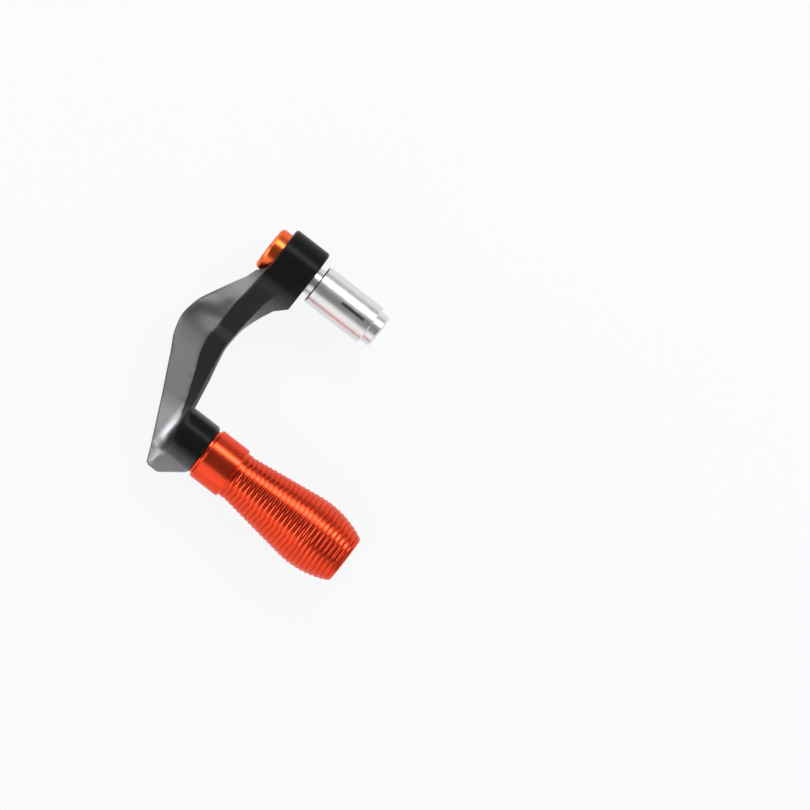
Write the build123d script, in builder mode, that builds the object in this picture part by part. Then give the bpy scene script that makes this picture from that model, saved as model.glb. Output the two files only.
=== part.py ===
import os
from math import sqrt

from build123d import *

# Brake lever guard for the right-hand end of a motorbike handlebar, in millimetres.
# The origin is the middle of the hub face that the bar end meets: +X points outboard
# along the bar, +Y forward and +Z up, so the bar leaves along -X.

# Slotted sleeve that spreads inside the bar
bar_bore_d = 18.0
bar_clearance = 0.32
sleeve_length = 27.1
sleeve_edge = 0.5
neck_d = 12.4
neck_length = 2.8
spigot_length = 3.5
finger_bore_d = 12.4
slit_width = 1.2
slit_length = 14.4
seam_turn = 45

# Cone nut at the inner end of the sleeve
cone_small_d = 12.2
cone_big_d = 14.1
cone_length = 3.8
tail_length = 4.3
tail_edge = 0.7
seat_gap = 0.08
key_length = 3.6
key_inset = 0.25
key_clearance = 0.1

# Countersunk bolt that draws the cone into the sleeve
bolt_d = 6.0
bolt_short = 0.7
bolt_point = 0.6
bolt_head_d = 12.0
bolt_head_rim = 0.4
bolt_hex = 4.0
bolt_hex_depth = 2.6
bolt_room = 0.3
running_fit = 0.05

# Cup washer under the bolt head
cup_d = 18.8
cup_height = 4.9
cup_round = 1.8
cup_sink = 0.3
cup_room = 1.9

# Hub of the arm
hub_d = 25.0
hub_width = 16.7
hub_round = 1.3

# Blade of the arm: ridge heights, edge thickness, corner roundings
hub_top = 12.2
upper_fall = 0.5
lower_fall = 1.8
boss_top = 8.2
crown = 0.8
edge_half = 3.0
edge_round = 2.0
wall_round = 0.7
bevel_round = 0.5
ridge_round = 0.6
bend_ridge_round = 4.0
sections_per_row = 3

# Blade of the arm: root on the hub, gusset beside it, then the bend
blade_start = 2.0
start_inset = 0.5
start_overhang = 0.2
start_bevel = 1.4
start_wall_drop = 1.2
gusset_y = 15.2
gusset_half = 4.5
gusset_bevel = 7.9
gusset_run = 4.4
gusset_rise = 4.3
gusset_ridge = 17.7
gusset_outer = 21.5
upper_bevel = 4.6
upper_ridge = 18.0
upper_outer = 23.95
bend_y = 42.0
bend_inner = 10.25
bend_ridge = 18.6
bend_outer = 32.5
bend_wall_half = 7.0

# Boss that carries the barrel, and the blunt tip in front of it
barrel_offset = 80.5
boss_d = 22.8
boss_inner = 8.2
boss_outer = 6.8
boss_round = 1.8
boss_outer_round = 2.3
root_depth = 2.9
outer_slope = 0.475
front_inset = 1.0
front_bevel = 0.9
front_drop = 1.8
tip_overhang = 6.7
tip_inner = 0.8
tip_width = 6.8
tip_top = 3.6
tip_half = 2.4
tip_bevel = 1.0
tip_cut = 0.7
tip_cut_inner = 1.1
tip_cut_outer = 1.3

# Hollow foot at the end of the boss; its place is counted in rows of the blade
foot_overlap = 1.4
foot_reach = 2.9
foot_rise = 1.7
foot_sink = 0.1
foot_hollow = 0.3
foot_middle = 8.3
foot_span = 1.15
foot_steps = 6

# Turned barrel
relief_d = 20.0
relief_length = 0.9
collar_d = 22.6
collar_length = 13.8
collar_edge = 0.5
land_length = 1.55
barrel_neck_d = 20.5
barrel_neck_at = 18.0
belly_d = 29.5
belly_at = 53.3
barrel_end_d = 21.2
barrel_length = 71.1
barrel_edge = 0.4
rib_pitch = 2.135
rib_depth = 0.3

# Socket screw along the barrel
screw_d = 6.0
screw_grip = 11.0
screw_point = 0.6
screw_room = 0.3
screw_head_d = 10.0
screw_head_height = 6.0
screw_head_edge = 0.5
screw_head_room = 0.5
screw_sink = 7.1
screw_hex = 5.0
screw_hex_depth = 3.0
thread_run_out = 1.2

# Places and radii that follow from the sizes
sleeve_radius = bar_bore_d / 2 - bar_clearance
sleeve_end = neck_length + sleeve_length
tail_start = sleeve_end + seat_gap
tail_end = tail_start + tail_length
bolt_hole_radius = bolt_d / 2 + bolt_room
thread_radius = bolt_d / 2 + running_fit
cup_radius = cup_d / 2
cup_face = hub_width + cup_height
bolt_face = cup_face - cup_sink
hub_radius = hub_d / 2
boss_radius = boss_d / 2
barrel_end = boss_inner + barrel_length
screw_seat = barrel_end - screw_sink
barrel_axis = Axis((0, barrel_offset, 0), (1, 0, 0))
gusset_end = gusset_y + gusset_rise
boss_root = barrel_offset - boss_radius + root_depth
boss_front = barrel_offset + boss_radius
tip_y = boss_front + tip_overhang
tip_outer = tip_inner + tip_width


def ridge_height(y):
    """Height of the ridge over the middle plane: near level, a step down in the bend, an even fall."""
    if y < bend_y:
        return hub_top - upper_fall * y / bend_y
    return boss_top + lower_fall * (barrel_offset - y) / (barrel_offset - bend_y)


def blade_section(y, inner, ridge, outer, bevel, wall_half, soften, top=None, half=edge_half):
    """Eight-sided section across the blade, the same above and below the middle plane."""
    top = top or ridge_height(y)
    shoulder = top - crown * min(y, barrel_offset) / barrel_offset
    upper = [(inner, wall_half), (inner + bevel, shoulder), (ridge, top), (outer, half)]
    lower = [(x, -z) for x, z in reversed(upper)]
    corners = [wall_round, bevel_round, soften, edge_round * half / edge_half]
    with BuildSketch(Plane.XZ.offset(-y)) as section:
        with BuildLine():
            FilletPolyline(*upper, *lower, radius=corners + corners[::-1], close=True)
        make_face()
    return section.sketch


# Rows along the blade from the gusset round the bend to the boss. Each sets back the inner edge,
# ridge and outer edge from the bend, then gives bevel, loss of wall height and ridge rounding.
upper_rows = [
    (
        bend_inner - gusset_run,
        bend_ridge - upper_ridge,
        bend_outer - upper_outer,
        upper_bevel,
        bend_wall_half - gusset_half,
        ridge_round,
    ),
    (2.55, 0.0, 4.7, 2.1, 1.4, 0.8),
    (0.5, 0.1, 1.25, 0.75, 0.4, 2.0),
]
lower_rows = [
    (0.0, 0.0, 0.0, 0.6, 0.0, bend_ridge_round),
    (1.15, 1.1, 1.6, 0.8, 0.0, 2.0),
    (2.75, 4.0, 5.4, 1.2, 0.3, 0.9),
    (4.1, 6.9, 9.1, 1.2, 0.7, ridge_round),
    (5.6, 9.6, 12.85, 1.0, 1.0, ridge_round),
]
upper_step = (bend_y - gusset_end) / len(upper_rows)
lower_step = (boss_root - bend_y) / (len(lower_rows) - 1)
row_places = [gusset_end + upper_step * i for i in range(len(upper_rows))]
row_places += [bend_y + lower_step * i for i in range(len(lower_rows))]
blade_rows = [
    (
        y,
        bend_inner - inner,
        bend_ridge - ridge,
        bend_outer - outer,
        bevel,
        bend_wall_half - loss,
        soften,
        ridge_height(y),
    )
    for y, (inner, ridge, outer, bevel, loss, soften) in zip(row_places, upper_rows + lower_rows)
]

# Rows past the boss, where the outer edge runs straight on. Each gives its share of the way to the
# front of the boss, its ridge set back from the boss's end and its ridge rounding.
front_rows = [
    (0.38, 0.2, 1.0),
    (0.70, 1.4, 1.5),
    (1.00, 2.4, 2.2),
]
root_outer = bend_outer - lower_rows[-1][2]
front_inner = front_inset - boss_inner
for share, back, soften in front_rows:
    y = boss_root + (boss_front - boss_root) * share
    blade_rows.append((
        y,
        front_inner,
        boss_outer - back,
        root_outer - outer_slope * (y - boss_root),
        front_bevel,
        edge_half,
        soften,
        ridge_height(y) - front_drop * share**3,
    ))
blade_columns = [list(column) for column in zip(*blade_rows)]


def row_slope(values, at):
    """Slope of a column at one of its rows: level at a turning point."""
    before = values[max(at, 1)] - values[max(at, 1) - 1]
    after = values[min(at, len(values) - 2) + 1] - values[min(at, len(values) - 2)]
    if before * after <= 0:
        return 0
    return 2 * before * after / (before + after)


def eased(values, spot):
    """Value of a column between two of its rows, never beyond either of them."""
    left = min(int(spot), len(values) - 2)
    part = spot - left
    return (
        values[left] * (1 + 2 * part) * (1 - part) ** 2
        + values[left + 1] * (3 - 2 * part) * part**2
        + row_slope(values, left) * part * (1 - part) ** 2
        - row_slope(values, left + 1) * part**2 * (1 - part)
    )


def row_at(spot):
    """Row of the blade at any place, counted in rows from the gusset."""
    return [eased(column, spot) for column in blade_columns]


# Sections of the blade, close enough together for an even surface
section_count = sections_per_row * (len(blade_rows) - 1)
blade_sections = [blade_section(*row_at(i / sections_per_row)) for i in range(section_count + 1)]

# Sections beside the hub, where a gusset widens the foot of the blade
start_section = blade_section(
    blade_start,
    0,
    hub_width - start_inset,
    hub_width + start_overhang,
    start_bevel,
    hub_top - start_wall_drop,
    ridge_round,
    half=2 * edge_half,
)
gusset_section = blade_section(
    gusset_y, 0, gusset_ridge, gusset_outer, gusset_bevel, gusset_half, ridge_round
)

# Blunt tip in front of the boss, with its corners cut off
tip_section = blade_section(
    tip_y - tip_cut,
    tip_inner,
    tip_outer - tip_bevel,
    tip_outer,
    tip_bevel,
    tip_half,
    ridge_round,
    top=tip_top,
    half=tip_half,
)
end_section = blade_section(
    tip_y,
    tip_inner + tip_cut_inner,
    tip_outer - tip_bevel - tip_cut_outer,
    tip_outer - tip_cut_outer,
    tip_bevel,
    tip_half - tip_cut,
    ridge_round,
    top=tip_top - tip_cut,
    half=tip_half - tip_cut,
)


def foot_section(spot, rise):
    """Section of the hollow foot: it falls from inside the boss to the outer face of the blade."""
    y, inner, ridge, outer, bevel, wall_half, soften, top = row_at(spot)
    near = boss_outer - foot_overlap
    far = boss_outer + foot_reach
    fall = (top - edge_half) / (outer - ridge)
    high = min(top, edge_half + fall * (outer - near)) - foot_sink + rise
    low = edge_half + fall * (outer - far) - foot_sink
    with BuildSketch(Plane.XZ.offset(-y)) as section:
        with BuildLine():
            Line((near, high), (near, -high))
            SagittaArc((near, -high), (far, -low), -foot_hollow)
            Line((far, -low), (far, low))
            SagittaArc((far, low), (near, high), -foot_hollow)
        make_face()
    return section.sketch


foot_shares = [2 * i / foot_steps - 1 for i in range(foot_steps + 1)]
foot_sections = [
    foot_section(foot_middle + foot_span * share, foot_rise * (1 - share**2)) for share in foot_shares
]

# Machined arm: faceted blade, hub and boss in one piece
with BuildPart() as guard_arm:
    loft([start_section, gusset_section, blade_sections[0]], ruled=True)
    loft(blade_sections)
    loft([blade_sections[-1], tip_section, end_section], ruled=True)
    # Hub across the bar end, with rounded rims
    with BuildSketch(Plane.XY) as hub_profile:
        with BuildLine():
            FilletPolyline(
                (0, 0),
                (0, hub_radius),
                (hub_width, hub_radius),
                (hub_width, 0),
                radius=[hub_round, hub_round],
            )
            Line((hub_width, 0), (0, 0))
        make_face()
    revolve(axis=Axis.X)
    # Boss for the barrel, with rounded rims
    with BuildSketch(Plane.XY) as boss_profile:
        with BuildLine():
            FilletPolyline(
                (-boss_inner, barrel_offset),
                (-boss_inner, boss_front),
                (boss_outer, boss_front),
                (boss_outer, barrel_offset),
                radius=[boss_round, boss_outer_round],
            )
            Line((boss_outer, barrel_offset), (-boss_inner, barrel_offset))
        make_face()
    revolve(axis=barrel_axis)
    # Hollow foot that leads from the end of the boss down to the blade
    loft(foot_sections)
    # Spot face that leaves room round the cup washer
    with BuildSketch(Plane.YZ.offset(hub_width)) as spot_face:
        Circle(cup_radius + cup_room)
    extrude(amount=bend_outer, mode=Mode.SUBTRACT)
    # Bolt hole, and the socket for the neck of the sleeve
    with BuildSketch(Plane.YZ) as bolt_hole:
        Circle(bolt_hole_radius)
    extrude(amount=hub_width, mode=Mode.SUBTRACT)
    with BuildSketch(Plane.YZ) as neck_socket:
        Circle(neck_d / 2 + running_fit)
    extrude(amount=spigot_length, mode=Mode.SUBTRACT)
    # Blind thread for the barrel screw
    with BuildSketch(Plane.YZ.offset(-boss_inner)) as screw_thread:
        with Locations((barrel_offset, 0)):
            Circle(screw_d / 2 + running_fit)
    extrude(amount=screw_grip + thread_run_out, mode=Mode.SUBTRACT)

# Slotted sleeve, with the neck that enters the hub
with BuildPart() as expander_sleeve:
    cone_slope = (cone_big_d - cone_small_d) / 2 / cone_length
    finger_radius = finger_bore_d / 2 + seat_gap
    seat_radius = cone_big_d / 2 + seat_gap
    # The profile stands between two saw cuts, so the seam of the turned face runs along a finger
    with BuildSketch(Plane.XY.rotated((seam_turn, 0, 0))) as sleeve_profile:
        with BuildLine():
            Polyline(
                (spigot_length, bolt_hole_radius),
                (spigot_length, neck_d / 2),
                (-neck_length, neck_d / 2),
                (-neck_length, sleeve_radius - sleeve_edge),
                (-neck_length - sleeve_edge, sleeve_radius),
                (sleeve_edge - sleeve_end, sleeve_radius),
                (-sleeve_end, sleeve_radius - sleeve_edge),
                (-sleeve_end, seat_radius),
                ((seat_radius - finger_radius) / cone_slope - sleeve_end, finger_radius),
                (slit_length - sleeve_end, finger_radius),
                (slit_length - sleeve_end, bolt_hole_radius),
                close=True,
            )
        make_face()
    revolve(axis=Axis.X)
    # Two saw cuts right across leave four fingers
    for saw_plane in (Plane.XY, Plane.XZ):
        with BuildSketch(saw_plane) as saw_cut:
            with Locations((slit_length / 2 - sleeve_end, 0)):
                Rectangle(slit_length, slit_width)
            with Locations((slit_length - sleeve_end, 0)):
                Circle(slit_width / 2)
        extrude(amount=bar_bore_d, both=True, mode=Mode.SUBTRACT)

# Cone nut, kept from turning by two keys in the slits
with BuildPart() as cone_nut:
    with BuildSketch(Plane.XY) as cone_profile:
        with BuildLine():
            Polyline(
                (cone_length - tail_start, thread_radius),
                (cone_length - tail_start, cone_small_d / 2),
                (-tail_start, cone_big_d / 2),
                (tail_edge - tail_end, cone_big_d / 2),
                (-tail_end, cone_big_d / 2 - tail_edge),
                (-tail_end, thread_radius),
                close=True,
            )
        make_face()
    revolve(axis=Axis.X)
    key_top = sleeve_radius - key_inset
    key_foot = (thread_radius + cone_small_d / 2) / 2
    for side in (1, -1):
        with BuildSketch(Plane.XY.offset(side * key_foot)) as key_shape:
            with Locations((key_length / 2 - tail_start, 0)):
                Rectangle(key_length, slit_width - 2 * key_clearance)
        extrude(amount=side * (key_top - key_foot))

# Countersunk draw bolt
with BuildPart() as draw_bolt:
    head_radius = bolt_head_d / 2
    head_edge = bolt_face - bolt_head_rim
    bolt_tip = tail_end - bolt_short
    with BuildSketch(Plane.XY) as bolt_profile:
        with BuildLine():
            Polyline(
                (bolt_face, 0),
                (bolt_face, head_radius),
                (head_edge, head_radius),
                (head_edge - head_radius + bolt_d / 2, bolt_d / 2),
                (bolt_point - bolt_tip, bolt_d / 2),
                (-bolt_tip, bolt_d / 2 - bolt_point),
                (-bolt_tip, 0),
                close=True,
            )
        make_face()
    revolve(axis=Axis.X)
    with BuildSketch(Plane.YZ.offset(bolt_face)) as bolt_socket:
        RegularPolygon(bolt_hex / 2, 6, major_radius=False)
    extrude(amount=-bolt_hex_depth, mode=Mode.SUBTRACT)

# Cup washer that takes the countersunk head
with BuildPart() as cup_washer:
    sink_radius = head_radius + 2 * running_fit
    cone_foot = head_edge - head_radius - running_fit * sqrt(2)
    with BuildSketch(Plane.XY) as cup_profile:
        with BuildLine():
            Polyline(
                (hub_width, cup_radius),
                (hub_width, bolt_hole_radius),
                (cone_foot + bolt_hole_radius, bolt_hole_radius),
                (cone_foot + sink_radius, sink_radius),
                (cup_face, sink_radius),
                (cup_face, cup_radius - cup_round),
            )
            CenterArc((cup_face - cup_round, cup_radius - cup_round), cup_round, 0, 90)
            Line((cup_face - cup_round, cup_radius), (hub_width, cup_radius))
        make_face()
    revolve(axis=Axis.X)

# Outline of the barrel over its ribs: even neck, straight taper, then a bow over the belly to the end
neck_radius = barrel_neck_d / 2
belly_radius = belly_d / 2
end_bow = (belly_radius - barrel_end_d / 2) / (barrel_length - belly_at) ** 2
neck_run = belly_at - barrel_neck_at
bow_run = neck_run - sqrt(neck_run**2 - (belly_radius - neck_radius) / end_bow)


def crest_radius(along):
    """Radius over the ribs, so far along the barrel from the boss."""
    before_belly = belly_at - along
    if along < barrel_neck_at:
        return neck_radius
    if before_belly > bow_run:
        return belly_radius - end_bow * bow_run * (2 * before_belly - bow_run)
    return belly_radius - end_bow * before_belly**2


def on_barrel(along, radius):
    """Point of the barrel's profile."""
    return (-boss_inner - along, barrel_offset + radius)


# Turned barrel: relief against the boss, plain collar, then the ribs
with BuildPart() as guard_barrel:
    collar_radius = collar_d / 2
    collar_end = relief_length + collar_length
    ribs_from = collar_end + land_length
    rib_count = int((barrel_length - barrel_edge - ribs_from) / rib_pitch)
    ribs_to = ribs_from + rib_count * rib_pitch
    with BuildSketch(Plane.XY) as barrel_profile:
        with BuildLine():
            Polyline(
                on_barrel(0, 0),
                on_barrel(0, relief_d / 2),
                on_barrel(relief_length, relief_d / 2),
                on_barrel(relief_length, collar_radius - collar_edge),
                on_barrel(relief_length + collar_edge, collar_radius),
                on_barrel(collar_end - collar_edge, collar_radius),
                on_barrel(collar_end, collar_radius - collar_edge),
                on_barrel(collar_end, neck_radius - rib_depth / 2),
                on_barrel(ribs_from, neck_radius - rib_depth / 2),
            )
            for rib in range(rib_count):
                start = ribs_from + rib * rib_pitch
                crest, half, valley, finish = [start + rib_pitch * part / 4 for part in (1, 2, 3, 4)]
                ThreePointArc(
                    on_barrel(start, crest_radius(start) - rib_depth / 2),
                    on_barrel(crest, crest_radius(crest)),
                    on_barrel(half, crest_radius(half) - rib_depth / 2),
                )
                ThreePointArc(
                    on_barrel(half, crest_radius(half) - rib_depth / 2),
                    on_barrel(valley, crest_radius(valley) - rib_depth),
                    on_barrel(finish, crest_radius(finish) - rib_depth / 2),
                )
            Polyline(
                on_barrel(ribs_to, crest_radius(ribs_to) - rib_depth / 2),
                on_barrel(barrel_length - barrel_edge, crest_radius(barrel_length) - rib_depth / 2),
                on_barrel(barrel_length, crest_radius(barrel_length) - rib_depth / 2 - barrel_edge),
                on_barrel(barrel_length, 0),
                on_barrel(0, 0),
            )
        make_face()
    revolve(axis=barrel_axis)
    # Clearance hole for the screw, and the recess for its head
    with BuildSketch(Plane.YZ.offset(-barrel_end)) as screw_hole:
        with Locations((barrel_offset, 0)):
            Circle(screw_d / 2 + screw_room)
    extrude(amount=barrel_length, mode=Mode.SUBTRACT)
    with BuildSketch(Plane.YZ.offset(-barrel_end)) as head_recess:
        with Locations((barrel_offset, 0)):
            Circle(screw_head_d / 2 + screw_head_room)
    extrude(amount=screw_sink, mode=Mode.SUBTRACT)

# Socket screw that holds the barrel to the boss
with BuildPart() as barrel_screw:
    head_end = screw_seat + screw_head_height
    screw_tip = screw_grip - boss_inner
    with BuildSketch(Plane.XY) as screw_profile:
        with BuildLine():
            Polyline(
                (-head_end, barrel_offset),
                (-head_end, barrel_offset + screw_head_d / 2 - screw_head_edge),
                (screw_head_edge - head_end, barrel_offset + screw_head_d / 2),
                (-screw_seat, barrel_offset + screw_head_d / 2),
                (-screw_seat, barrel_offset + screw_d / 2),
                (screw_tip - screw_point, barrel_offset + screw_d / 2),
                (screw_tip, barrel_offset + screw_d / 2 - screw_point),
                (screw_tip, barrel_offset),
                close=True,
            )
        make_face()
    revolve(axis=barrel_axis)
    with BuildSketch(Plane.YZ.offset(-head_end)) as screw_socket:
        with Locations((barrel_offset, 0)):
            RegularPolygon(screw_hex / 2, 6, major_radius=False)
    extrude(amount=screw_hex_depth, mode=Mode.SUBTRACT)

pieces = {
    "guard_arm": guard_arm,
    "expander_sleeve": expander_sleeve,
    "cone_nut": cone_nut,
    "draw_bolt": draw_bolt,
    "cup_washer": cup_washer,
    "guard_barrel": guard_barrel,
    "barrel_screw": barrel_screw,
}
os.makedirs("parts", exist_ok=True)
for name, piece in pieces.items():
    piece.part.label = name
    export_step(piece.part, f"parts/{name}.step")
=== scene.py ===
import math

import bmesh
import bpy
from mathutils import Matrix, Vector


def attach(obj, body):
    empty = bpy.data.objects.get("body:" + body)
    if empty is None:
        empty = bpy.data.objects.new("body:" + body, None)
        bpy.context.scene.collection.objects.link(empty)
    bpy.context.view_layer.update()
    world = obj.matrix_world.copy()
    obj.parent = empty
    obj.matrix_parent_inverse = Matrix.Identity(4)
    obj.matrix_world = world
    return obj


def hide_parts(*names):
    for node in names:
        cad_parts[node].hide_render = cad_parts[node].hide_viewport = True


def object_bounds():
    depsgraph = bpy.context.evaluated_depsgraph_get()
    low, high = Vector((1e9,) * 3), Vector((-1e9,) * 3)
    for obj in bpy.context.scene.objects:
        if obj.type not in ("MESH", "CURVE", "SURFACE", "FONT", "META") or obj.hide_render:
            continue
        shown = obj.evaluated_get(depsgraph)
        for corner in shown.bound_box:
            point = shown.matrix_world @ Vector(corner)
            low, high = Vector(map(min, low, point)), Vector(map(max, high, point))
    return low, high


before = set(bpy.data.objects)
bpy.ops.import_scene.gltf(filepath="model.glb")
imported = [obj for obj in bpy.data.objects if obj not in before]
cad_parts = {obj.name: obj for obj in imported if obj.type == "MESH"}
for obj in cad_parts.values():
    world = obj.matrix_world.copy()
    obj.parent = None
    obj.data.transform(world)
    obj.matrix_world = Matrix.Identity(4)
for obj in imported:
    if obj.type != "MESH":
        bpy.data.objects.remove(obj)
cad_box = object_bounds()
scene = bpy.context.scene


# Guard arm: hub, bent blade and barrel boss milled from one block of aluminium,
# tumbled to soften the milled corners and anodised black with a satin skin.

def add_node(tree, kind, **settings):
    """A new node in the tree, with its properties set by name."""
    node = tree.nodes.new(kind)
    for name, value in settings.items():
        setattr(node, name, value)
    return node


def make_group(name, inputs, outputs):
    """An empty shader node group with a place, float inputs and float outputs, and its two end nodes."""
    tree = bpy.data.node_groups.new(name, "ShaderNodeTree")
    tree.interface.new_socket("Place", in_out="INPUT", socket_type="NodeSocketVector")
    for label, default in inputs:
        socket = tree.interface.new_socket(label, in_out="INPUT", socket_type="NodeSocketFloat")
        socket.default_value = default
    for label in outputs:
        tree.interface.new_socket(label, in_out="OUTPUT", socket_type="NodeSocketFloat")
    return tree, add_node(tree, "NodeGroupInput"), add_node(tree, "NodeGroupOutput")


def make_material(name):
    """A material with its tree, its Principled shader and the object's own coordinates."""
    material = bpy.data.materials.new(name)
    material.use_nodes = True
    tree = material.node_tree
    shader = tree.nodes["Principled BSDF"]
    place = add_node(tree, "ShaderNodeTexCoord").outputs["Object"]
    return material, tree, shader, place


def use_group(tree, group, place, **values):
    """A shared effect placed in a material with its own values."""
    node = add_node(tree, "ShaderNodeGroup", node_tree=group)
    tree.links.new(place, node.inputs["Place"])
    for label, value in values.items():
        node.inputs[label.replace("_", " ")].default_value = value
    return node


def work_out(tree, operation, first, second=None, clamp=False):
    """A sum on one or two values, each a number or the output of another node."""
    node = add_node(tree, "ShaderNodeMath", operation=operation, use_clamp=clamp)
    for socket, value in zip(node.inputs, (first, second)):
        if isinstance(value, float):
            socket.default_value = value
        elif value is not None:
            tree.links.new(value, socket)
    return node.outputs[0]


# The grain that anodising leaves: fine pits all over, and a slow cloudiness in the sheen
anodic_grain, grain_in, grain_out = make_group(
    "anodic_grain",
    [("Pit Size", 0.0002), ("Cloud Size", 0.02)],
    ["Pits", "Clouds"],
)
for size_label, out_label, detail in (("Pit Size", "Pits", 2.0), ("Cloud Size", "Clouds", 4.0)):
    grain_noise = add_node(anodic_grain, "ShaderNodeTexNoise")
    grain_noise.inputs["Detail"].default_value = detail
    per_metre = work_out(anodic_grain, "DIVIDE", 1.0, grain_in.outputs[size_label])
    anodic_grain.links.new(per_metre, grain_noise.inputs["Scale"])
    anodic_grain.links.new(grain_in.outputs["Place"], grain_noise.inputs["Vector"])
    anodic_grain.links.new(grain_noise.outputs["Fac"], grain_out.inputs[out_label])


# The blade keeps a metallic sheen from milling. Hub and boss are turned smooth and deep black, and the
# boss runs out into the sheen at its front.
# The lower end of the blade gets a painted sheen, a lighter colour that stands in for reflected light,
# and the foot beside the boss, the cut tip and the outer face next to the cup washer get a painted
# highlight, lighter still.
blade_sheen, sheen_in, sheen_out = make_group(
    "blade_sheen",
    [
        ("Hub Edge", 0.009),
        ("Boss Root", 0.0695),
        ("Boss End", 0.0062),
        ("Boss Front", 0.0840),
        ("Tip Root", 0.0700),
        ("Foot Side", 0.0064),
        ("Foot End", 0.0092),
        ("Tip Side", 0.0065),
        ("Tip Front", 0.0895),
        ("Tip Highlight Share", 0.6),
        ("Highlight Side", 0.0165),
        ("Highlight End", 0.0200),
        ("Short Blend", 0.002),
        ("Long Blend", 0.007),
    ],
    ["Milled", "Painted Sheen", "Painted Highlight"],
)
split = add_node(blade_sheen, "ShaderNodeSeparateXYZ")
blade_sheen.links.new(sheen_in.outputs["Place"], split.inputs[0])


def past(along, edge_label, blend_label):
    """How far a place on the arm lies past an edge, from 0 to 1 over the blend."""
    beyond = work_out(blade_sheen, "SUBTRACT", split.outputs[along], sheen_in.outputs[edge_label])
    return work_out(blade_sheen, "DIVIDE", beyond, sheen_in.outputs[blend_label], clamp=True)


def without(mask, other):
    """A mask on the arm with another one taken away."""
    return work_out(blade_sheen, "SUBTRACT", mask, other, clamp=True)


def within(mask, other):
    """The part of a mask on the arm that lies in another one."""
    return work_out(blade_sheen, "MULTIPLY", mask, other, clamp=True)


def either(mask, other):
    """Two masks on the arm laid over each other."""
    return work_out(blade_sheen, "MAXIMUM", mask, other, clamp=True)


on_boss = without(past("Y", "Boss Root", "Short Blend"), past("X", "Boss End", "Short Blend"))
on_boss = without(on_boss, past("Y", "Boss Front", "Long Blend"))
milled = without(past("Y", "Hub Edge", "Long Blend"), on_boss)
# Painted sheen: the lower end of the blade is given a lighter colour that stands in for reflected light
painted_sheen = within(past("Y", "Tip Root", "Long Blend"), milled)
past_tip_front = past("Y", "Tip Front", "Short Blend")
# Painted highlight: the foot beside the boss, the cut tip and the outer face next to the cup washer get
# a still lighter colour that stands in for reflected light
foot_highlight = without(past("X", "Foot Side", "Short Blend"), past("X", "Foot End", "Short Blend"))
foot_highlight = within(foot_highlight, past("Y", "Boss Root", "Long Blend"))
foot_highlight = without(foot_highlight, past_tip_front)
tip_highlight = without(past_tip_front, past("X", "Tip Side", "Short Blend"))
tip_highlight = within(tip_highlight, sheen_in.outputs["Tip Highlight Share"])
cup_side_highlight = without(past("X", "Highlight Side", "Short Blend"), past("Y", "Highlight End", "Long Blend"))
painted_highlight = either(either(foot_highlight, tip_highlight), cup_side_highlight)
blade_sheen.links.new(milled, sheen_out.inputs["Milled"])
blade_sheen.links.new(painted_sheen, sheen_out.inputs["Painted Sheen"])
blade_sheen.links.new(painted_highlight, sheen_out.inputs["Painted Highlight"])

# Nearly all of a noise, or the middle of a mask, lies between these two values
mask_low, mask_high = 0.3, 0.7


def vary(tree, mask, socket, low, high):
    """Lets a mask move a value between two limits on a shader's socket."""
    spread = add_node(tree, "ShaderNodeMapRange")
    spread.inputs["From Min"].default_value = mask_low
    spread.inputs["From Max"].default_value = mask_high
    spread.inputs["To Min"].default_value = low
    spread.inputs["To Max"].default_value = high
    tree.links.new(mask, spread.inputs["Value"])
    tree.links.new(spread.outputs["Result"], socket)


def tint(tree, mask, dark, light):
    """A colour that a mask moves between two tints."""
    ramp = add_node(tree, "ShaderNodeValToRGB")
    ramp.color_ramp.elements[0].position = mask_low
    ramp.color_ramp.elements[1].position = mask_high
    ramp.color_ramp.elements[0].color = (*dark, 1)
    ramp.color_ramp.elements[1].color = (*light, 1)
    tree.links.new(mask, ramp.inputs["Fac"])
    return ramp.outputs["Color"]


def blend(tree, mask, first, second):
    """A colour that goes from the first to the second with a mask; each is a colour or a socket."""
    node = add_node(tree, "ShaderNodeMix", data_type="RGBA")
    tree.links.new(mask, node.inputs["Factor"])
    first_colour, second_colour = node.inputs[6], node.inputs[7]
    for socket, colour in ((first_colour, first), (second_colour, second)):
        if isinstance(colour, tuple):
            socket.default_value = (*colour, 1)
        else:
            tree.links.new(colour, socket)
    return node.outputs[2]


def emboss(tree, height, shader, depth):
    """Turns a height mask into the surface's relief, its depth in metres."""
    relief = add_node(tree, "ShaderNodeBump")
    relief.inputs["Distance"].default_value = depth
    tree.links.new(height, relief.inputs["Height"])
    tree.links.new(relief.outputs["Normal"], shader.inputs["Normal"])


deep_black = (0.0064, 0.0064, 0.0070), (0.0088, 0.0088, 0.0095)
satin_black = (0.076, 0.076, 0.079), (0.092, 0.092, 0.095)
# Painted sheen: a lighter black for the lower end of the blade, standing in for reflected light
painted_sheen_black = (0.124, 0.125, 0.129), (0.140, 0.141, 0.145)
# Painted highlight: a light grey for the foot, the cut tip and the face by the cup washer, standing in
# for reflected light
painted_highlight_grey = (0.27, 0.272, 0.28)
turned_roughness, milled_roughness = 0.25, 0.33
black_pit_depth = 0.000003

black_anodised, tree, shader, place = make_material("black_anodised")
shader.inputs["IOR"].default_value = 1.16
grain = use_group(tree, anodic_grain, place, Pit_Size=0.00025, Cloud_Size=0.015)
sheen = use_group(tree, blade_sheen, place)
clouds = grain.outputs["Clouds"]
# Painted sheen mixed into the blade's colour towards its lower end
blade_colour = blend(
    tree, sheen.outputs["Painted Sheen"], blend(tree, clouds, *satin_black), blend(tree, clouds, *painted_sheen_black)
)
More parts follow.
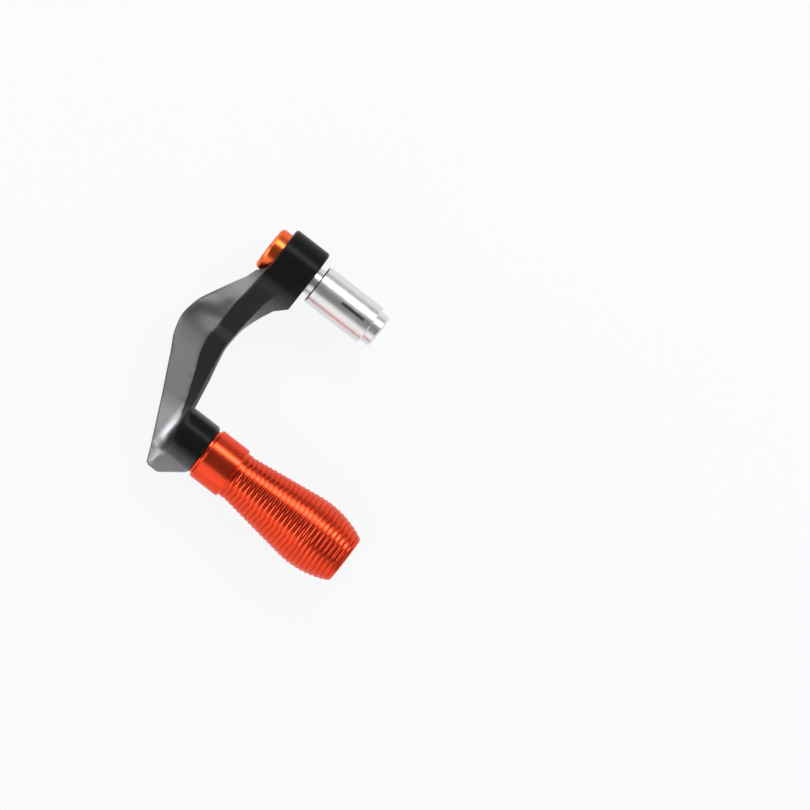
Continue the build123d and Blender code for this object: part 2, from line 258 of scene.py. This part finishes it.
# Painted highlight laid over the blade's colour
blade_colour = blend(tree, sheen.outputs["Painted Highlight"], blade_colour, painted_highlight_grey)
arm_colour = blend(tree, sheen.outputs["Milled"], blend(tree, clouds, *deep_black), blade_colour)
tree.links.new(arm_colour, shader.inputs["Base Color"])
tree.links.new(sheen.outputs["Milled"], shader.inputs["Metallic"])
vary(tree, sheen.outputs["Milled"], shader.inputs["Roughness"], turned_roughness, milled_roughness)
emboss(tree, grain.outputs["Pits"], shader, black_pit_depth)

# Boss, foot and tip are dressed by hand until they run into each other. The dressing fades in between
# the two values of each pair, and leaves the barrel's seat, the blade and the outline as they are.
from_seat = -0.0072, -0.0056
to_outboard = 0.0100, 0.0125
from_blade = 0.0705, 0.0735
from_middle = 0.0028, 0.0042


def rise(value, low, high):
    """0 below the low limit, 1 above the high one, and an even rise between them."""
    return min(max((value - low) / (high - low), 0.0), 1.0)


def dressing(spot):
    """How much a spot on the arm is dressed, from 0 to 1."""
    beside = rise(spot.x, *from_seat) * rise(-spot.x, -to_outboard[1], -to_outboard[0])
    return beside * rise(spot.y, *from_blade) * rise(abs(spot.z), *from_middle)


def make_triangles(mesh):
    """Cuts every larger face into triangles."""
    bmesh.ops.triangulate(mesh, faces=[face for face in mesh.faces if len(face.verts) > 3])


longest_edge = 0.0006
most_cuts = 8
passes = 110
step = 0.5
seam_gap = 0.000001
sliver = 0.000004
sharpest_smooth = math.radians(18)

arm_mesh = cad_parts["guard_arm"].data.copy()
arm_mesh.name = "arm_blended"
dressed = bmesh.new()
dressed.from_mesh(arm_mesh)
bmesh.ops.remove_doubles(dressed, verts=dressed.verts, dist=seam_gap)
for _ in range(most_cuts):
    long_edges = [
        edge for edge in dressed.edges
        if edge.calc_length() > longest_edge and max(dressing(vert.co) for vert in edge.verts) > 0
    ]
    if not long_edges:
        break
    bmesh.ops.subdivide_edges(dressed, edges=long_edges, cuts=1)
    make_triangles(dressed)
    bmesh.ops.dissolve_degenerate(dressed, dist=sliver, edges=dressed.edges)
shares = [(vert, dressing(vert.co)) for vert in dressed.verts]
shares = [(vert, share) for vert, share in shares if share > 0]
for _ in range(passes):
    moves = []
    for vert, share in shares:
        around = [edge.other_vert(vert).co for edge in vert.link_edges]
        middle = sum(around, Vector()) / len(around)
        moves.append((middle - vert.co) * step * share)
    for (vert, share), move in zip(shares, moves):
        vert.co += move
bmesh.ops.dissolve_degenerate(dressed, dist=sliver, edges=dressed.edges)
make_triangles(dressed)
for edge in dressed.edges:
    edge.smooth = len(edge.link_faces) == 2 and edge.calc_face_angle() < sharpest_smooth
for face in dressed.faces:
    face.smooth = True
dressed.to_mesh(arm_mesh)
dressed.free()
arm_mesh.materials.clear()
arm_mesh.materials.append(black_anodised)
arm_piece = bpy.data.objects.new("arm_blended", arm_mesh)
scene.collection.objects.link(arm_piece)
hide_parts("guard_arm")
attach(arm_piece, "arm")


# Expander sleeve: a bare aluminium tube turned on a lathe, sawn into four fingers
# at its inner end. Its neck sits in the hub and the bolt goes through it.

# The lines that a lathe tool leaves round an axis along X, on the outside as on the end faces
turned_lines, lines_in, lines_out = make_group(
    "turned_lines",
    [("Axis Y", 0.0), ("Pitch", 0.0001)],
    ["Lines"],
)
split = add_node(turned_lines, "ShaderNodeSeparateXYZ")
turned_lines.links.new(lines_in.outputs["Place"], split.inputs[0])
from_axis = work_out(turned_lines, "SUBTRACT", split.outputs["Y"], lines_in.outputs["Axis Y"])
across = add_node(turned_lines, "ShaderNodeCombineXYZ")
turned_lines.links.new(from_axis, across.inputs["Y"])
turned_lines.links.new(split.outputs["Z"], across.inputs["Z"])
radius = add_node(turned_lines, "ShaderNodeVectorMath", operation="LENGTH")
turned_lines.links.new(across.outputs[0], radius.inputs[0])
tool_path = work_out(turned_lines, "ADD", radius.outputs["Value"], split.outputs["X"])
lines_along = work_out(turned_lines, "DIVIDE", tool_path, lines_in.outputs["Pitch"])
lines_noise = add_node(turned_lines, "ShaderNodeTexNoise", noise_dimensions="1D")
lines_noise.inputs["Scale"].default_value = 1.0
lines_noise.inputs["Detail"].default_value = 3.0
turned_lines.links.new(lines_along, lines_noise.inputs["W"])
turned_lines.links.new(lines_noise.outputs["Fac"], lines_out.inputs["Lines"])


def dress(node_name, material):
    """Gives a CAD node its finished material."""
    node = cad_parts[node_name]
    node.data.materials.clear()
    node.data.materials.append(material)


plug_axis_y = 0.0
bare_metal = (0.73, 0.73, 0.74), (0.79, 0.79, 0.795)
bare_roughness = 0.29, 0.35
bare_line_depth = 0.000003

bare_aluminium, tree, shader, place = make_material("bare_aluminium")
shader.inputs["Metallic"].default_value = 1.0
grain = use_group(tree, anodic_grain, place, Pit_Size=0.0005, Cloud_Size=0.008)
lines = use_group(tree, turned_lines, place, Axis_Y=plug_axis_y, Pitch=0.00012)
tree.links.new(tint(tree, grain.outputs["Clouds"], *bare_metal), shader.inputs["Base Color"])
vary(tree, grain.outputs["Clouds"], shader.inputs["Roughness"], *bare_roughness)
emboss(tree, lines.outputs["Lines"], shader, bare_line_depth)
dress("expander_sleeve", bare_aluminium)


# Cone nut: turned from the same bare bar as the sleeve, with two keys that lie in
# the sleeve's slits and keep it from turning with the bolt.

dress("cone_nut", bare_aluminium)


# Draw bolt: a countersunk socket bolt in zinc plated steel. It pulls the cone nut
# into the sleeve and clamps the arm between the cup washer and the bar.

zinc_plate = (0.50, 0.50, 0.51), (0.60, 0.60, 0.605)
zinc_roughness = 0.24, 0.34
zinc_pit_depth = 0.000004

screw_steel, tree, shader, place = make_material("screw_steel")
shader.inputs["Metallic"].default_value = 1.0
grain = use_group(tree, anodic_grain, place, Pit_Size=0.0003, Cloud_Size=0.004)
tree.links.new(tint(tree, grain.outputs["Clouds"], *zinc_plate), shader.inputs["Base Color"])
vary(tree, grain.outputs["Clouds"], shader.inputs["Roughness"], *zinc_roughness)
emboss(tree, grain.outputs["Pits"], shader, zinc_pit_depth)
dress("draw_bolt", screw_steel)


# Cup washer: turned aluminium, anodised orange, with a countersink for the bolt's
# head. It sits in the arm's spot face and turns with the arm.

orange_roughness = 0.22, 0.27
orange_line_depth = 0.0000004
orange_edge_tint = (1.0, 0.80, 0.76)


def orange_anodised(name, axis_y, dark, light):
    """Bright orange anodising over turned aluminium, its tool lines round the axis given."""
    material, tree, shader, place = make_material(name)
    shader.inputs["Metallic"].default_value = 1.0
    shader.inputs["Specular Tint"].default_value = (*orange_edge_tint, 1)
    grain = use_group(tree, anodic_grain, place, Pit_Size=0.0003, Cloud_Size=0.01)
    lines = use_group(tree, turned_lines, place, Axis_Y=axis_y, Pitch=0.0001)
    orange = tint(tree, grain.outputs["Clouds"], dark, light)
    tree.links.new(orange, shader.inputs["Base Color"])
    vary(tree, grain.outputs["Clouds"], shader.inputs["Roughness"], *orange_roughness)
    emboss(tree, lines.outputs["Lines"], shader, orange_line_depth)
    return material, tree, shader, place, orange


golden_orange = (0.86, 0.135, 0.030), (0.91, 0.160, 0.040)
dress("cup_washer", orange_anodised("orange_cup", plug_axis_y, *golden_orange)[0])


# Guard barrel: turned in one piece from aluminium bar, with a plain collar against
# the boss and fine ribs over its belly, and anodised orange like the cup washer.

barrel_axis_y = 0.0805
red_orange = (0.82, 0.062, 0.022), (0.88, 0.075, 0.028)
# The deeper red of the painted shade in the grooves between the ribs
groove_shade_red = (0.46, 0.028, 0.010)

# Painted shade: the colour turns deeper red in the grooves between the ribs, and in the one behind the
# collar, where shade falls
painted_groove_shade, shade_in, shade_out = make_group(
    "painted_groove_shade",
    [("Pitch", 0.002135), ("Collar End", -0.0232), ("Ribs Start", -0.02445), ("Ribs End", -0.07783)],
    ["Grooves"],
)
groove_sharpness = 3.0
split = add_node(painted_groove_shade, "ShaderNodeSeparateXYZ")
painted_groove_shade.links.new(shade_in.outputs["Place"], split.inputs[0])
along = split.outputs["X"]
from_start = work_out(painted_groove_shade, "SUBTRACT", along, shade_in.outputs["Ribs Start"])
ribs_passed = work_out(painted_groove_shade, "DIVIDE", from_start, shade_in.outputs["Pitch"])
angle = work_out(painted_groove_shade, "MULTIPLY", ribs_passed, 2 * math.pi)
wave = work_out(painted_groove_shade, "SINE", angle, clamp=True)
grooves = work_out(painted_groove_shade, "POWER", wave, groove_sharpness)
past_collar = work_out(painted_groove_shade, "LESS_THAN", along, shade_in.outputs["Collar End"])
before_end = work_out(painted_groove_shade, "GREATER_THAN", along, shade_in.outputs["Ribs End"])
on_ribs = work_out(painted_groove_shade, "MULTIPLY", past_collar, before_end, clamp=True)
grooves = work_out(painted_groove_shade, "MULTIPLY", grooves, on_ribs, clamp=True)
painted_groove_shade.links.new(grooves, shade_out.inputs["Grooves"])

orange_barrel, tree, shader, place, orange = orange_anodised("orange_barrel", barrel_axis_y, *red_orange)
groove_shade = use_group(tree, painted_groove_shade, place)
# Painted shade: the barrel's orange turns deeper red in the grooves
barrel_colour = blend(tree, groove_shade.outputs["Grooves"], orange, groove_shade_red)
tree.links.new(barrel_colour, shader.inputs["Base Color"])
dress("guard_barrel", orange_barrel)


# Barrel screw: a socket head screw in zinc plated steel, sunk in the barrel's far
# end and screwed into the boss.

dress("barrel_screw", screw_steel)


# Floor: a pale sweep that the guard lies on. It shows white to the camera and in
# reflections, and still takes the guard's soft shadow.

floor_half = 2.0
floor_z = cad_box[0][2]
floor_white = (0.964, 0.974, 0.990)
floor_grey = (0.8, 0.8, 0.8)
shadow_share = 0.09

floor_mesh = bpy.data.meshes.new("floor")
floor_mesh.from_pydata(
    [(x * floor_half, y * floor_half, floor_z) for x, y in ((-1, -1), (1, -1), (1, 1), (-1, 1))],
    [],
    [(0, 1, 2, 3)],
)
floor = bpy.data.objects.new("floor", floor_mesh)
scene.collection.objects.link(floor)
floor_paint = bpy.data.materials.new("floor_paint")
floor_paint.use_nodes = True
tree = floor_paint.node_tree
tree.nodes.remove(tree.nodes["Principled BSDF"])
paint = add_node(tree, "ShaderNodeBsdfDiffuse")
paint.inputs["Color"].default_value = (*floor_grey, 1)
glow = add_node(tree, "ShaderNodeEmission")
glow.inputs["Color"].default_value = (*floor_white, 1)
rays = add_node(tree, "ShaderNodeLightPath").outputs
seen = work_out(tree, "MAXIMUM", rays["Is Camera Ray"], rays["Is Glossy Ray"])
seen = work_out(tree, "MAXIMUM", seen, rays["Is Transmission Ray"])
mix = add_node(tree, "ShaderNodeMixShader")
tree.links.new(work_out(tree, "MULTIPLY", seen, 1 - shadow_share), mix.inputs[0])
tree.links.new(paint.outputs[0], mix.inputs[1])
tree.links.new(glow.outputs[0], mix.inputs[2])
tree.links.new(mix.outputs[0], tree.nodes["Material Output"].inputs["Surface"])
floor_mesh.materials.append(floor_paint)


# Studio: a pale tent that is darker at the top, with a soft box and two low strips on
# the outboard side, pale cards in front, a strip behind and a panel inboard.

guard_middle = Vector((-0.015, 0.045, 0.0))
panel_distance = 1.0
upwards = Vector((0, 0, 1))


def soft_panel(name, azimuth, from_zenith, wide, tall, brightness):
    """A soft panel seen from the guard in the direction given, and so many degrees wide and tall."""
    turn = math.radians(azimuth)
    slope = math.radians(from_zenith)
    side = Vector((math.cos(turn), math.sin(turn), 0))
    back = side * math.sin(slope) + upwards * math.cos(slope)
    right = upwards.cross(side).normalized()
    lamp = bpy.data.lights.new(name, "AREA")
    lamp.shape = "RECTANGLE"
    lamp.size = 2 * panel_distance * math.tan(math.radians(wide) / 2)
    lamp.size_y = 2 * panel_distance * math.tan(math.radians(tall) / 2)
    lamp.energy = brightness * math.pi * lamp.size * lamp.size_y
    panel = bpy.data.objects.new(name, lamp)
    facing = Matrix((right, back.cross(right), back)).transposed().to_4x4()
    panel.matrix_world = Matrix.Translation(guard_middle + back * panel_distance) @ facing
    scene.collection.objects.link(panel)


soft_panel("soft_box", 26, 58, 34, 20, 3.0)
soft_panel("low_strip_left", 15, 82, 26, 16, 5.5)
soft_panel("low_strip_right", 332, 83, 28, 14, 6.0)
soft_panel("front_tent", 94, 63, 64, 50, 0.78)
soft_panel("strip_behind", 270, 47, 80, 17, 6.0)
soft_panel("corner_card", 58, 57, 34, 24, 1.0)
soft_panel("inboard_panel", 180, 48, 40, 18, 2.8)

tent_dark, tent_bright = 0.18, 0.38
tent_top, tent_rim = 0.85, 0.25
tent = bpy.data.worlds.new("tent")
tent.use_nodes = True
tree = tent.node_tree
outwards = add_node(tree, "ShaderNodeTexCoord")
split = add_node(tree, "ShaderNodeSeparateXYZ")
fall = add_node(tree, "ShaderNodeMapRange")
fall.inputs["From Min"].default_value = tent_rim
fall.inputs["From Max"].default_value = tent_top
fall.inputs["To Min"].default_value = tent_bright
fall.inputs["To Max"].default_value = tent_dark
tree.links.new(outwards.outputs["Generated"], split.inputs[0])
tree.links.new(split.outputs["Z"], fall.inputs["Value"])
tree.links.new(fall.outputs["Result"], tree.nodes["Background"].inputs["Strength"])
tree.nodes["Background"].inputs["Color"].default_value = (1, 1, 1, 1)
scene.world = tent
scene.view_settings.view_transform = "Standard"


# Camera: high above the guard with a long lens, turned so that the plug points to
# the lower right of the picture.

millimetres_per_pixel = 0.40
picture_pixels = 810
picture_turn = math.radians(37.8)
picture_middle = Vector((-0.0603, 0.0167, 0.0))
lean = Vector((0.030, 0.005, 1.0))
camera_distance = 6.0
farthest_seen = 20.0
sensor = 36.0

camera_back = lean.normalized()
camera_right = Vector((-math.cos(picture_turn), -math.sin(picture_turn), 0))
camera_right = (camera_right - camera_back * camera_right.dot(camera_back)).normalized()
camera_up = camera_back.cross(camera_right)
lens = bpy.data.cameras.new("camera")
lens.sensor_width = sensor
lens.lens = sensor * camera_distance * 1000 / (millimetres_per_pixel * picture_pixels)
lens.clip_end = farthest_seen
camera = bpy.data.objects.new("camera", lens)
camera.matrix_world = Matrix.Translation(picture_middle + camera_back * camera_distance) @ (
    Matrix((camera_right, camera_up, camera_back)).transposed().to_4x4()
)
scene.collection.objects.link(camera)
scene.camera = camera
